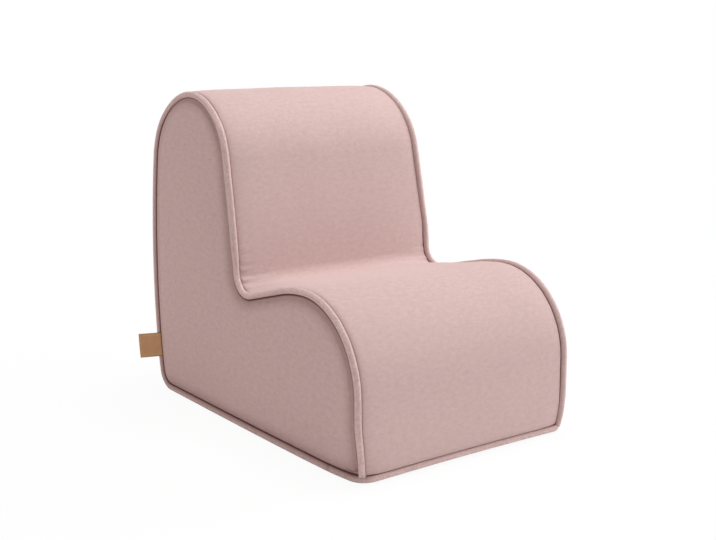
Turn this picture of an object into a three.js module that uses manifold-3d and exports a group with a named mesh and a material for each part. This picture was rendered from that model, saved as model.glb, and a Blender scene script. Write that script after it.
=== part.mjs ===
// A kids armchair: one block of foam in a sewn cover with piping, closed by a zip across the lower rear.
// Millimetres, +Z up, the front faces -Y, and the origin is the middle of the flat underside.
import * as THREE from 'three';
import Module from 'manifold-3d';

const wasm = await Module();
wasm.setup();

const degrees = THREE.MathUtils.degToRad;

// Body: the outline is the outer face of the cover along its side seams.
const bodyWidth = 344;
const bodyHeight = 451.5;
const crestHeight = 217.5;
const seatDip = 28.5;
const noseRadius = 113;
const toeLean = degrees(0.5);
const crestRadius = 210;
const seatSlope = degrees(15);
const creaseRadius = 32;
const backLean = degrees(10);
const topRadius = 103;
const rearRadius = 1800;
const bellyHeight = 245;
const heelRadius = 26;
const baseLift = 2.2;

// Width: the cover pulls the body in towards the floor and towards the top.
const waistHeight = 80;
const baseDraw = 2;
const topDraw = 11.3;

// Cover fabric: a panel's edge sinks at its seam and the panel stands up between its seams.
const fabric = 1.5;
const gap = 0.3;
const crown = 3.2;
const seamDrop = 1.2;
const riseWidth = 24;

// Piping: a fabric sleeve with a flange round a filler cord.
const pipingRadius = 4.3;
const pipingInset = 0.9;
const sleeveFabric = 1;
const flangeThickness = 1.6;
const flangeReach = 7.3;
const plainFlangeReach = -0.8;
const floorCornerRadius = 15;
const pipingJointSetback = 60;

// Zip across the lower rear.
const zipHeight = 62;
const zipOpening = 13;
const tapeWidth = 15;
const tapeThickness = 0.8;
const coilWidth = 2.2;
const coilThickness = 1.8;
const stopLength = 3;
const stopThickness = 1.2;
const stopWidth = 2.4;
const zipEndMargin = 30;

// Slider and pull.
const sliderLength = 11;
const sliderPlate = 1.2;
const sliderFlange = 1.4;
const sliderClearance = 0.35;
const bridgeLength = 7.2;
const bridgeWidth = 1.6;
const bridgeWall = 1.2;
const bridgeHole = 1.9;
const pullWidth = 6.4;
const pullLength = 26;
const pullThickness = 1.1;
const pullWindowWidth = 2.8;
const pullWindowClearance = 0.6;

// Leather tab in the left rear seam.
const tagHeight = 38;
const tagLength = 33;
const tagThickness = 2.2;
const tagLevel = 66;
const tagTurn = degrees(-53);
const tagStart = degrees(-75);
const tagDroop = 0.02;

// Fineness of the facets.
const arcStep = degrees(12);
const sleeveSides = 9;
const cordSides = 6;
const riseSteps = [0, 3, 8, 15, 24].map((step) => (step / 24) * riseWidth);
const foamSteps = [0, 8, 15, 24].map((step) => (step / 24) * riseWidth);

// What follows from the sizes above.
const halfWidth = bodyWidth / 2;
const pipingProud = pipingRadius - pipingInset;
const edgeInset = pipingInset + pipingRadius + gap;
const baseLevel = pipingProud + baseLift;
const flangeFace = seamDrop + fabric + gap;
const foamEdgeInset = seamDrop + fabric + gap;
const flangeRoom = flangeThickness + 2 * gap;

// Outline: circles that touch each other, solved from the rear, then moved to the middle.
const heelZ = baseLevel + heelRadius;
const heelY = -rearRadius + Math.sqrt((rearRadius - heelRadius) ** 2 - (bellyHeight - heelZ) ** 2);
const topZ = bodyHeight - topRadius;
const topY = -rearRadius + Math.sqrt((rearRadius - topRadius) ** 2 - (topZ - bellyHeight) ** 2);
const creaseZ = crestHeight - seatDip + creaseRadius;
const backTopY = topY - topRadius * Math.cos(backLean);
const backTopZ = topZ + topRadius * Math.sin(backLean);
const backLength = (backTopZ + creaseRadius * Math.sin(backLean) - creaseZ) / Math.cos(backLean);
const creaseY = backTopY - backLength * Math.sin(backLean) - creaseRadius * Math.cos(backLean);
const rampEndY = creaseY - creaseRadius * Math.sin(seatSlope);
const rampEndZ = creaseZ - creaseRadius * Math.cos(seatSlope);
const crestCentreZ = crestHeight - crestRadius;
const crestY = rampEndY
  - (crestRadius - (rampEndZ - crestCentreZ) * Math.cos(seatSlope)) / Math.sin(seatSlope);
const noseZ = crestHeight - noseRadius;
const toeTopY = crestY - noseRadius * Math.cos(toeLean);
const toeTopZ = noseZ + noseRadius * Math.sin(toeLean);
const toeLength = (toeTopZ - baseLevel) / Math.cos(toeLean);
const bodyDepth = toeLength * Math.sin(toeLean) - toeTopY;
const middle = bodyDepth / 2;
const footY = -bodyDepth / 2;

// Stations along the outline: a point, its outward normal and the room behind it.
function station(y, z, angle, room = Infinity) {
  return { y, z, ny: Math.cos(angle), nz: Math.sin(angle), angle, room };
}

function arc(centreY, centreZ, radius, from, to, hollow = false) {
  const pieces = Math.max(1, Math.round(Math.abs(to - from) / arcStep));
  const side = hollow ? -1 : 1;
  const room = hollow ? Infinity : radius;
  return Array.from({ length: pieces + 1 }, (_, i) => {
    const angle = from + ((to - from) * i) / pieces;
    const y = middle + centreY + side * radius * Math.cos(angle);
    const z = centreZ + side * radius * Math.sin(angle);
    return station(y, z, angle, room);
  });
}

const toeAngle = Math.PI - toeLean;
const baseAngle = -Math.PI / 2;
const cornerAngle = Math.PI / 2 - toeLean;

// A station on the front face, a distance up from the foot, and one on the underside behind the foot.
function toeStation(distance) {
  return {
    ...station(footY + distance * Math.sin(toeLean), baseLevel + distance * Math.cos(toeLean), toeAngle),
    corner: distance,
    along: [Math.sin(toeLean), Math.cos(toeLean)],
  };
}

function baseStation(distance) {
  return { ...station(footY + distance, baseLevel, baseAngle), corner: distance, along: [1, 0] };
}

// A station on the rear arc, a distance above the middle of the zip.
const zipAngle = Math.asin((zipHeight - bellyHeight) / rearRadius);
function rearStation(distance) {
  const angle = zipAngle + distance / rearRadius;
  const y = middle + rearRadius * (Math.cos(angle) - 1);
  return station(y, bellyHeight + rearRadius * Math.sin(angle), angle);
}

const chainHalfGap = gap / 2;
const tapeReach = chainHalfGap + tapeWidth;
const recessReach = tapeReach + gap;
const recessEnd = recessReach + 1.6;
const topRearAngle = Math.asin((topZ - bellyHeight) / (rearRadius - topRadius));
const heelRearAngle = -Math.asin((bellyHeight - heelZ) / (rearRadius - heelRadius));
const rearTop = (topRearAngle - zipAngle) * rearRadius;

const toePart = riseSteps.map((step) => toeStation(edgeInset + step));
const frontPart = [
  ...arc(crestY, noseZ, noseRadius, toeAngle, Math.PI / 2),
  ...arc(crestY, crestCentreZ, crestRadius, Math.PI / 2, Math.PI / 2 - seatSlope).slice(1),
  ...arc(creaseY, creaseZ, creaseRadius, Math.PI / 2 - seatSlope, Math.PI - backLean, true),
  ...arc(topY, topZ, topRadius, Math.PI - backLean, topRearAngle),
];
const rearPart = [0.67, 0.34].map((share) => rearStation(rearTop * share));
const zipUpperPart = [recessEnd, recessReach, zipOpening / 2].map((distance) => rearStation(distance));
const zipLowerPart = [zipOpening / 2, recessReach, recessEnd].map((distance) => rearStation(-distance));
const heelPart = arc(heelY, heelZ, heelRadius, heelRearAngle, baseAngle);
const basePart = [
  baseStation(bodyDepth / 2),
  baseStation(pipingJointSetback + gap),
  ...[...riseSteps].reverse().map((step) => baseStation(edgeInset + step)),
];

const mainStations = [...toePart, ...frontPart, ...rearPart, ...zipUpperPart];
const baseStations = [...zipLowerPart, ...heelPart, ...basePart];
const loopStations = [...mainStations, ...baseStations];

// How far a panel has risen at a distance from its seam, as a share of its full rise.
function riseShare(distance) {
  return 1 - (1 - Math.min(distance / riseWidth, 1)) ** 3;
}

// The panel's outer face above the outline: the underside rises as far as the floor, just past the piping.
function panelRise(stationHere, fromSideSeam) {
  const flatness = THREE.MathUtils.clamp(-stationHere.angle / (Math.PI / 2), 0, 1);
  const full = THREE.MathUtils.lerp(crown, baseLevel, flatness ** 2);
  const fromEnd = stationHere.corner === undefined ? Infinity : stationHere.corner - edgeInset;
  const share = riseShare(fromSideSeam) * riseShare(fromEnd);
  return -seamDrop + (seamDrop + full) * share;
}

// The body's width at a height, as a share of its width at the waist.
function widthShare(z) {
  const low = Math.max(0, (waistHeight - z) / waistHeight);
  const high = Math.max(0, (z - waistHeight) / (bodyHeight - waistHeight));
  return 1 - (baseDraw * low ** 2 + topDraw * high ** 2) / halfWidth;
}

// Materials.
const cover = new THREE.MeshStandardMaterial({ color: 0xc7a5a1, roughness: 0.95, metalness: 0 });
const sideCover = new THREE.MeshStandardMaterial({ color: 0xc2a09c, roughness: 0.95, metalness: 0 });
const welt = new THREE.MeshStandardMaterial({ color: 0xbd9c98, roughness: 0.95, metalness: 0 });
const filler = new THREE.MeshStandardMaterial({ color: 0xe8e4dc, roughness: 0.9, metalness: 0 });
const foam = new THREE.MeshStandardMaterial({ color: 0xefe9d2, roughness: 1, metalness: 0 });
const leather = new THREE.MeshStandardMaterial({ color: 0xa9794f, roughness: 0.6, metalness: 0 });
const tape = new THREE.MeshStandardMaterial({ color: 0xb9928d, roughness: 0.9, metalness: 0 });
const nylon = new THREE.MeshStandardMaterial({ color: 0xb08a85, roughness: 0.5, metalness: 0 });
const nickel = new THREE.MeshStandardMaterial({ color: 0xb8b4ae, roughness: 0.3, metalness: 1 });

const armchair = new THREE.Group();

// A mesh from triangles of points, turned to face out, with the body's narrowing put in.
function addSkin(name, triangles, material) {
  const ids = new Map();
  const points = [];
  const index = [];
  const idOf = (point) => {
    const key = point.map((value) => Math.round(value * 1e4)).join();
    if (!ids.has(key)) {
      ids.set(key, points.length / 3);
      points.push(point[0] * widthShare(point[2]), point[1], point[2]);
    }
    return ids.get(key);
  };
  for (const triangle of triangles) {
    const [a, b, c] = triangle.map(idOf);
    if (a !== b && b !== c && c !== a) {
      index.push(a, b, c);
    }
  }
  if (signedVolume(points, index) < 0) {
    index.reverse();
  }
  const geometry = new THREE.BufferGeometry();
  geometry.setAttribute('position', new THREE.Float32BufferAttribute(points, 3));
  geometry.setIndex(index);
  geometry.computeVertexNormals();
  return addMesh(name, geometry, material, armchair);
}

function addMesh(name, geometry, material, parent) {
  const mesh = new THREE.Mesh(geometry, material);
  mesh.name = name;
  parent.add(mesh);
  return mesh;
}

function signedVolume(points, index) {
  const corner = (i) => new THREE.Vector3().fromArray(points, index[i] * 3);
  let volume = 0;
  for (let i = 0; i < index.length; i += 3) {
    volume += corner(i).dot(corner(i + 1).cross(corner(i + 2)));
  }
  return volume;
}

function quad(a, b, c, d) {
  return [[a, b, c], [a, c, d]];
}

// Triangles of a flat outline, all turned the same way; a hole's points follow the outline's.
function flatFaces(outline, holes = []) {
  const flat = [outline, ...holes].map((loop) => loop.map(([u, v]) => new THREE.Vector2(u, v)));
  const all = flat.flat();
  return THREE.ShapeUtils.triangulateShape(flat[0], flat.slice(1)).map(([a, b, c]) => {
    const area = THREE.ShapeUtils.area([all[a], all[b], all[c]]);
    return area > 0 ? [a, b, c] : [a, c, b];
  });
}

// A closed body through loops of equal length, from the -X end to the +X end, flat at both ends.
function loft(loops) {
  const triangles = [];
  for (let k = 0; k + 1 < loops.length; k += 1) {
    const count = loops[k].length;
    for (let i = 0; i < count; i += 1) {
      const next = (i + 1) % count;
      triangles.push(...quad(loops[k][i], loops[k + 1][i], loops[k + 1][next], loops[k][next]));
    }
  }
  const first = loops[0];
  const last = loops[loops.length - 1];
  const faces = flatFaces(last.map(([, y, z]) => [y, z]));
  faces.forEach(([a, b, c]) => triangles.push([last[a], last[b], last[c]]));
  faces.forEach(([a, b, c]) => triangles.push([first[a], first[c], first[b]]));
  return triangles;
}

// A closed body between an outer and an inner grid of points.
function shell(outer, inner) {
  const rows = outer.length - 1;
  const columns = outer[0].length - 1;
  const triangles = [];
  for (let r = 0; r < rows; r += 1) {
    for (let c = 0; c < columns; c += 1) {
      triangles.push(...quad(outer[r][c], outer[r][c + 1], outer[r + 1][c + 1], outer[r + 1][c]));
      triangles.push(...quad(inner[r][c], inner[r + 1][c], inner[r + 1][c + 1], inner[r][c + 1]));
    }
    triangles.push(...quad(outer[r][0], outer[r + 1][0], inner[r + 1][0], inner[r][0]));
    triangles.push(...quad(
      outer[r + 1][columns], outer[r][columns], inner[r][columns], inner[r + 1][columns],
    ));
  }
  for (let c = 0; c < columns; c += 1) {
    triangles.push(...quad(outer[0][c + 1], outer[0][c], inner[0][c], inner[0][c + 1]));
    triangles.push(...quad(outer[rows][c], outer[rows][c + 1], inner[rows][c + 1], inner[rows][c]));
  }
  return triangles;
}

// A closed body swept through frames, each with an origin and the directions of the section's axes.
function sweep(frames, outline, hole = null) {
  const place = ({ origin, across, out }, [u, v]) => (
    origin.map((value, axis) => value + u * across[axis] + v * out[axis])
  );
  const outlines = frames.map((frame) => (
    (typeof outline === 'function' ? outline(frame) : outline).map((point) => place(frame, point))
  ));
  const flatOutline = typeof outline === 'function' ? outline(frames[0]) : outline;
  const holes = hole ? frames.map((frame) => hole.map((point) => place(frame, point))) : [];
  const triangles = [];
  for (let k = 0; k + 1 < frames.length; k += 1) {
    const count = outlines[k].length;
    for (let i = 0; i < count; i += 1) {
      const next = (i + 1) % count;
      triangles.push(...quad(outlines[k][i], outlines[k][next], outlines[k + 1][next], outlines[k + 1][i]));
    }
    for (let i = 0; hole && i < hole.length; i += 1) {
      const next = (i + 1) % hole.length;
      triangles.push(...quad(holes[k][i], holes[k + 1][i], holes[k + 1][next], holes[k][next]));
    }
  }
  const last = frames.length - 1;
  for (const [a, b, c] of flatFaces(flatOutline, hole ? [hole] : [])) {
    const start = hole ? [...outlines[0], ...holes[0]] : outlines[0];
    const end = hole ? [...outlines[last], ...holes[last]] : outlines[last];
    triangles.push([start[a], start[c], start[b]], [end[a], end[b], end[c]]);
  }
  return triangles;
}

// A point of the outline, moved in along the normal; near the foot it stays clear of the other face.
function insetPoint(stationHere, inset) {
  if (stationHere.corner === undefined) {
    const depth = Math.min(inset, stationHere.room * 0.92);
    return [stationHere.y - depth * stationHere.ny, stationHere.z - depth * stationHere.nz];
  }
  const mitre = inset / Math.tan(cornerAngle / 2);
  const shift = Math.max(stationHere.corner, mitre) - stationHere.corner;
  const [alongY, alongZ] = stationHere.along;
  return [
    stationHere.y + shift * alongY - inset * stationHere.ny,
    stationHere.z + shift * alongZ - inset * stationHere.nz,
  ];
}

function loopAt(x, insetOf) {
  return loopStations.map((stationHere) => {
    const [y, z] = insetPoint(stationHere, insetOf(stationHere));
    return [x, y, z];
  });
}

// How far the front corners are cut back across the width near the floor, to follow the piping round them.
function cornerCut(stationHere, radius) {
  if (stationHere.corner === undefined) {
    return 0;
  }
  const fromArc = Math.max(0, radius - (stationHere.corner - edgeInset));
  return radius - Math.sqrt(Math.max(0, radius ** 2 - fromArc ** 2));
}

// The columns of a strip across the width: a place and its distance from the nearer side seam.
function columnsOf(steps, cut = 0) {
  const edge = halfWidth - edgeInset - cut;
  const right = steps.map((step) => ({ x: edge - step * (1 - cut / edge), fromSeam: step }));
  const left = right.map(({ x, fromSeam }) => ({ x: -x, fromSeam }));
  return [...left, ...right.reverse()];
}

function stripGrid(stations, offset, cornerRadius) {
  return stations.map((stationHere) => (
    columnsOf(riseSteps, cornerCut(stationHere, cornerRadius)).map(({ x, fromSeam }) => {
      const height = panelRise(stationHere, fromSeam) + offset;
      return [x, stationHere.y + height * stationHere.ny, stationHere.z + height * stationHere.nz];
    })
  ));
}

function addStrip(name, stations, cornerRadius) {
  const outer = stripGrid(stations, 0, cornerRadius);
  const inner = stripGrid(stations, -fabric, cornerRadius);
  addSkin(name, shell(outer, inner), cover);
}

// Cover panels.
function addCoverPanels() {
  addStrip('main_panel', mainStations, 0);
  addStrip('base_panel', baseStations, floorCornerRadius - edgeInset);
  for (const [name, side] of [['side_panel_left', -1], ['side_panel_right', 1]]) {
    const face = (depth) => [...riseSteps].reverse().map((step) => {
      const level = -seamDrop + (seamDrop + crown) * riseShare(step) - depth;
      return loopAt(side * (halfWidth + level), () => edgeInset + step);
    });
    const loops = [...face(0), ...face(fabric).reverse()];
    addSkin(name, loft(side < 0 ? loops : loops.reverse()), sideCover);
  }
}

// Foam: it follows the inside of the cover and leaves room for the piping, its flanges and the zip.
function foamInset(stationHere, fromSeam) {
  const onBase = stationHere.angle === baseAngle;
  if (onBase && stationHere.corner - edgeInset < riseSteps[1] + gap) {
    return edgeInset;
  }
  if (!onBase && stationHere.corner - edgeInset < foamSteps[1] + gap) {
    return foamEdgeInset + flangeRoom;
  }
  const behindZip = [...zipUpperPart, ...zipLowerPart].includes(stationHere)
    && stationHere !== zipUpperPart[0] && stationHere !== zipLowerPart[2];
  const recess = behindZip ? tapeThickness + gap : 0;
  return fabric + gap + recess - panelRise(stationHere, fromSeam);
}

function addFoam() {
  const rings = foamSteps.map((step) => {
    const flat = step <= foamSteps[1];
    const level = flat
      ? -(foamEdgeInset + flangeRoom)
      : -(fabric + gap) - seamDrop + (seamDrop + crown) * riseShare(step);
    return (side) => loopAt(side * (halfWidth + level), () => edgeInset + step);
  });
  const leftRings = [...rings].reverse().map((ring) => ring(-1));
  const rightRings = rings.map((ring) => ring(1));
  const cutRadius = floorCornerRadius - edgeInset + pipingRadius;
  const strips = columnsOf(foamSteps).map((_, column) => loopStations.map((stationHere) => {
    const cut = cornerCut(stationHere, cutRadius);
    const { x, fromSeam } = columnsOf(foamSteps, cut)[column];
    const [y, z] = insetPoint(stationHere, foamInset(stationHere, fromSeam));
    return [x, y, z];
  }));
  addSkin('foam_core', loft([...leftRings, ...strips, ...rightRings]), foam);
}

// Piping section: u points away from the side seam's corner across the width, v along the normal.
function sleeveOutline(flangeOuter, reach) {
  const flangeInner = flangeOuter + flangeThickness;
  const angleAt = (u) => -Math.PI / 2 - Math.asin((u - pipingInset) / pipingRadius);
  const from = angleAt(flangeOuter);
  const to = angleAt(flangeInner) + 2 * Math.PI;
  const round = Array.from({ length: sleeveSides + 1 }, (_, i) => {
    const angle = from + ((to - from) * i) / sleeveSides;
    return [
      -pipingInset + pipingRadius * Math.cos(angle),
      -pipingInset + pipingRadius * Math.sin(angle),
    ];
  });
  const end = -(edgeInset + reach);
  return [...round, [-flangeInner, end], [-flangeOuter, end]];
}

function roundOutline(radius, sides) {
  return Array.from({ length: sides }, (_, i) => {
    const angle = (2 * Math.PI * i) / sides;
    return [-pipingInset + radius * Math.cos(angle), -pipingInset + radius * Math.sin(angle)];
  });
}

const boreRadius = pipingRadius - sleeveFabric;
const cordRadius = boreRadius - gap / Math.cos(Math.PI / cordSides);
const boreOutline = roundOutline(boreRadius, cordSides);
const cordOutline = roundOutline(cordRadius, cordSides);

function addPiping(side, frames, outline) {
  addSkin(`piping_${side}`, sweep(frames, outline, boreOutline), welt);
  addSkin(`piping_cord_${side}`, sweep(frames, cordOutline), filler);
}

function addSidePipings() {
  const pipingTop = baseLevel + pipingInset + pipingRadius;
  const start = (pipingTop + gap + pipingRadius * Math.sin(toeLean) - baseLevel) / Math.cos(toeLean);
  const path = [
    toeStation(start),
    ...toePart.filter(({ corner }) => corner > start + gap),
    ...loopStations.slice(toePart.length).filter(({ corner }) => !(corner <= pipingJointSetback)),
  ];
  for (const [name, side] of [['left', -1], ['right', 1]]) {
    const frames = path.map(({ y, z, ny, nz }, i) => ({
      origin: [side * halfWidth, y, z],
      across: [side, 0, 0],
      out: [0, ny, nz],
      reach: i === 0 ? plainFlangeReach : flangeReach,
    }));
    addPiping(name, frames, ({ reach }) => sleeveOutline(flangeFace, reach));
  }
}

// Along the front bottom edge the flange stands further in, clear of the leaning front face.
function addFrontPiping() {
  const down = [0, 0, -1];
  const turnPieces = Math.round(Math.PI / 2 / arcStep);
  const centreX = halfWidth - floorCornerRadius;
  const centreY = footY + floorCornerRadius;
  const straight = edgeInset + riseWidth;
  const sideFrame = (distance, reach) => ({
    origin: [-halfWidth, footY + distance, baseLevel], across: [-1, 0, 0], out: down, face: flangeFace, reach,
  });
  const frontFace = flangeFace + edgeInset * Math.tan(toeLean);
  const frontFrame = (x, reach) => ({
    origin: [x, footY, baseLevel], across: [0, -1, 0], out: down, face: frontFace, reach,
  });
  const turn = Array.from({ length: turnPieces + 1 }, (_, i) => {
    const angle = (Math.PI / 2) * (i / turnPieces);
    const across = [-Math.cos(angle), -Math.sin(angle), 0];
    const x = -centreX + floorCornerRadius * across[0];
    const y = centreY + floorCornerRadius * across[1];
    return { origin: [x, y, baseLevel], across, out: down, face: flangeFace, reach: plainFlangeReach };
  });
  const half = [
    sideFrame(pipingJointSetback, flangeReach),
    sideFrame(straight + 2, flangeReach),
    sideFrame(straight, plainFlangeReach),
    ...turn,
    frontFrame(-(halfWidth - straight), plainFlangeReach),
    frontFrame(-(halfWidth - straight - 2), flangeReach),
    frontFrame(-halfWidth / 3, flangeReach),
  ];
  const mirrored = [...half].reverse().map((frame) => ({
    ...frame,
    origin: [-frame.origin[0], frame.origin[1], frame.origin[2]],
    across: [-frame.across[0], frame.across[1], 0],
  }));
  addPiping('front', [...half, ...mirrored], ({ face, reach }) => sleeveOutline(face, reach));
}

// Zip: tapes and coil halves lie behind the opening between the two hems and follow the cover.
const zipEnd = halfWidth - edgeInset - zipEndMargin;

function zipStrip(low, high, outerOffset, thickness, from, to) {
  const columns = columnsOf(riseSteps).filter(({ x }) => x > from && x < to);
  const ends = [from, to].map((x) => ({ x, fromSeam: halfWidth - edgeInset - Math.abs(x) }));
  const across = [ends[0], ...columns, ends[1]];
  const grid = (offset) => [high, low].map((distance) => {
    const here = rearStation(distance);
    return across.map(({ x, fromSeam }) => {
      const height = panelRise(here, fromSeam) + offset;
      return [x, here.y + height * here.ny, here.z + height * here.nz];
    });
  });
  return shell(grid(outerOffset), grid(outerOffset - thickness));
}

const tapeFace = -(fabric + gap);
const coilBack = tapeFace + gap;
const coilFace = coilBack + coilThickness;

function addZipStrips() {
  const edge = halfWidth - edgeInset;
  for (const [name, side] of [['upper', 1], ['lower', -1]]) {
    const band = (near, far) => (side > 0 ? [near, far] : [-far, -near]);
    addSkin(
      `zip_tape_${name}`,
      zipStrip(...band(chainHalfGap, tapeReach), tapeFace, tapeThickness, -edge, edge),
      tape,
    );
    addSkin(
      `zip_coil_${name}`,
      zipStrip(...band(chainHalfGap, chainHalfGap + coilWidth), coilFace, coilThickness, -edge, edge),
      nylon,
    );
    addSkin(
      `zip_top_stop_${name}`,
      zipStrip(
        ...band(chainHalfGap, chainHalfGap + stopWidth),
        coilFace + gap + stopThickness, stopThickness, zipEnd, zipEnd + stopLength,
      ),
      nickel,
    );
  }
  const reach = chainHalfGap + stopWidth;
  addSkin(
    'zip_bottom_stop',
    zipStrip(-reach, reach, coilFace + gap + stopThickness, stopThickness, -zipEnd - stopLength, -zipEnd),
    nickel,
  );
}

// Solids are joined and cut through manifold-3d; x runs along the zip, y out of the rear, z up.
function solid(geometry) {
  const flat = geometry.index ? geometry.toNonIndexed() : geometry;
  const position = flat.getAttribute('position');
  const ids = new Map();
  const points = [];
  const triVerts = [];
  for (let i = 0; i < position.count; i += 1) {
    const point = [position.getX(i), position.getY(i), position.getZ(i)];
    const key = point.map((value) => Math.round(value * 1e4)).join();
    if (!ids.has(key)) {
      ids.set(key, points.length / 3);
      points.push(...point);
    }
    triVerts.push(ids.get(key));
  }
  return new wasm.Manifold(new wasm.Mesh({
    numProp: 3,
    vertProperties: new Float32Array(points),
    triVerts: new Uint32Array(triVerts),
  }));
}

function geometryOf(made) {
  const { vertProperties, triVerts } = made.getMesh();
  const geometry = new THREE.BufferGeometry();
  geometry.setAttribute('position', new THREE.Float32BufferAttribute(vertProperties, 3));
  geometry.setIndex(Array.from(triVerts));
  return geometry.toNonIndexed();
}

function extruded(shape, depth) {
  const geometry = new THREE.ExtrudeGeometry(shape, { depth, bevelEnabled: false, curveSegments: 6 });
  return geometry.translate(0, 0, -depth / 2);
}

function roundedShape(left, right, halfHeight, radius) {
  const shape = new THREE.Shape();
  shape.moveTo(left + radius, -halfHeight);
  shape.lineTo(right - radius, -halfHeight);
  shape.absarc(right - radius, -halfHeight + radius, radius, -Math.PI / 2, 0);
  shape.lineTo(right, halfHeight - radius);
  shape.absarc(right - radius, halfHeight - radius, radius, 0, Math.PI / 2);
  shape.lineTo(left + radius, halfHeight);
  shape.absarc(left + radius, halfHeight - radius, radius, Math.PI / 2, Math.PI);
  shape.lineTo(left, -halfHeight + radius);
  shape.absarc(left + radius, -halfHeight + radius, radius, Math.PI, 1.5 * Math.PI);
  return shape;
}

const plateBack = coilFace + sliderClearance;
const plateFace = plateBack + sliderPlate;
const barHeight = plateFace + bridgeHole / 2;

function sliderGeometry() {
  const inside = chainHalfGap + coilWidth + sliderClearance;
  const outside = inside + sliderFlange;
  const flangeEnd = tapeFace + sliderClearance;
  const section = new THREE.Shape([
    [-outside, flangeEnd], [-inside, flangeEnd], [-inside, plateBack], [inside, plateBack],
    [inside, flangeEnd], [outside, flangeEnd], [outside, plateFace], [-outside, plateFace],
  ].map(([z, y]) => new THREE.Vector2(z, y)));
  const body = extruded(section, sliderLength).rotateY(-Math.PI / 2);
  const bridgeTop = plateFace + bridgeHole + bridgeWall;
  const bridge = new THREE.Shape();
  bridge.moveTo(-bridgeLength / 2, plateBack + sliderPlate / 2);
  bridge.lineTo(bridgeLength / 2, plateBack + sliderPlate / 2);
  bridge.lineTo(bridgeLength / 2, bridgeTop - bridgeWall);
  bridge.lineTo(bridgeLength / 2 - bridgeWall, bridgeTop);
  bridge.lineTo(-bridgeLength / 2 + bridgeWall, bridgeTop);
  bridge.lineTo(-bridgeLength / 2, bridgeTop - bridgeWall);
  const holeHalf = bridgeLength / 2 - bridgeWall;
  bridge.holes.push(new THREE.Path([
    [-holeHalf, plateFace], [holeHalf, plateFace],
    [holeHalf, plateFace + bridgeHole], [-holeHalf, plateFace + bridgeHole],
  ].map(([x, y]) => new THREE.Vector2(x, y))));
  return geometryOf(solid(body).add(solid(extruded(bridge, bridgeWidth))));
}

function pullGeometry() {
  const bar = pullThickness / 2;
  const bridgeCorner = Math.hypot(bridgeLength / 2, bridgeHole / 2 + bridgeWall);
  const windowEnd = bridgeCorner + pullWindowClearance;
  const shape = roundedShape(-bar, pullLength, pullWidth / 2, bar * 0.9);
  shape.holes.push(new THREE.Path([
    [bar, -pullWindowWidth / 2], [bar, pullWindowWidth / 2],
    [windowEnd, pullWindowWidth / 2], [windowEnd, -pullWindowWidth / 2],
  ].map(([x, z]) => new THREE.Vector2(x, z))));
  return extruded(shape, pullThickness).rotateX(Math.PI / 2);
}

function addSlider() {
  const here = rearStation(0);
  const zip = new THREE.Group();
  zip.position.set(0, here.y + crown * here.ny, here.z + crown * here.nz);
  zip.rotation.x = here.angle;
  armchair.add(zip);
  const slider = new THREE.Group();
  slider.position.x = zipEnd * widthShare(here.z) - gap - sliderLength / 2;
  zip.add(slider);
  addMesh('zip_slider', sliderGeometry(), nickel, slider);
  const pull = addMesh('zip_pull', pullGeometry(), nickel, slider);
  pull.position.y = barHeight;
  pull.rotation.z = Math.PI;
}

// Tab: it leaves the seam in front of the piping, bends round it and stands out to the left rear.
function addTag() {
  const bend = pipingRadius + gap + tagThickness / 2;
  const side = (radius) => [tagStart, (tagStart + tagTurn) / 2, tagTurn].map((angle) => [
    -pipingInset + radius * Math.cos(angle), -pipingInset + radius * Math.sin(angle),
  ]);
  const along = [-Math.sin(tagTurn), Math.cos(tagTurn)];
  const beyond = ([u, v], distance) => [u + distance * along[0], v + distance * along[1]];
  const near = side(bend - tagThickness / 2);
  const far = side(bend + tagThickness / 2);
  const fold = tagThickness * 0.3;
  const outline = [
    ...far, beyond(far[2], tagLength - fold),
    beyond(side(bend)[2], tagLength),
    beyond(near[2], tagLength - fold), ...near.reverse(),
  ];
  const angle = Math.asin((tagLevel - bellyHeight) / rearRadius);
  const frames = [-tagHeight / 2, tagHeight / 2].map((distance) => {
    const here = rearStation((angle - zipAngle) * rearRadius + distance);
    return {
      origin: [-halfWidth, here.y, here.z],
      across: [-1, 0, -tagDroop],
      out: [0, here.ny, here.nz - tagDroop],
    };
  });
  addSkin('tag', sweep(frames, outline), leather);
}

addFoam();
addCoverPanels();
addSidePipings();
addFrontPiping();
addZipStrips();
addSlider();
addTag();

export default armchair;
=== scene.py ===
"""The looks of the kids armchair: a piped fabric cover over foam, a leather tab and a zip at the rear."""
from math import asin, ceil, cos, dist, hypot, pi, radians, sin, sqrt, tan, tau

import bmesh
import bpy
import numpy as np
from mathutils import Euler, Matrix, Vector, noise
from mathutils.geometry import delaunay_2d_cdt


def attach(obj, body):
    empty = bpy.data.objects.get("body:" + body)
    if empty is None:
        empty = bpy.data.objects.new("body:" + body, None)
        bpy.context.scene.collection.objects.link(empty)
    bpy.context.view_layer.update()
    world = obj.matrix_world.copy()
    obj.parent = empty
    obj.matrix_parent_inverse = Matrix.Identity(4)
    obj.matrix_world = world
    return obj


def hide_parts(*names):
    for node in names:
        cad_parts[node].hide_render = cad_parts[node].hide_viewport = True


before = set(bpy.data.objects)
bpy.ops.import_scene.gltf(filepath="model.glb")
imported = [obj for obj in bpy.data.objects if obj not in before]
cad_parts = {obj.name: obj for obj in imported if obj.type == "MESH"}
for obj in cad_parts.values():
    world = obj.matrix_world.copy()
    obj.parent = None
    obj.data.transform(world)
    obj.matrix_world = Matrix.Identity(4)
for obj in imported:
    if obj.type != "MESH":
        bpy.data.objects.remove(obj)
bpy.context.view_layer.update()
scene = bpy.context.scene

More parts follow.
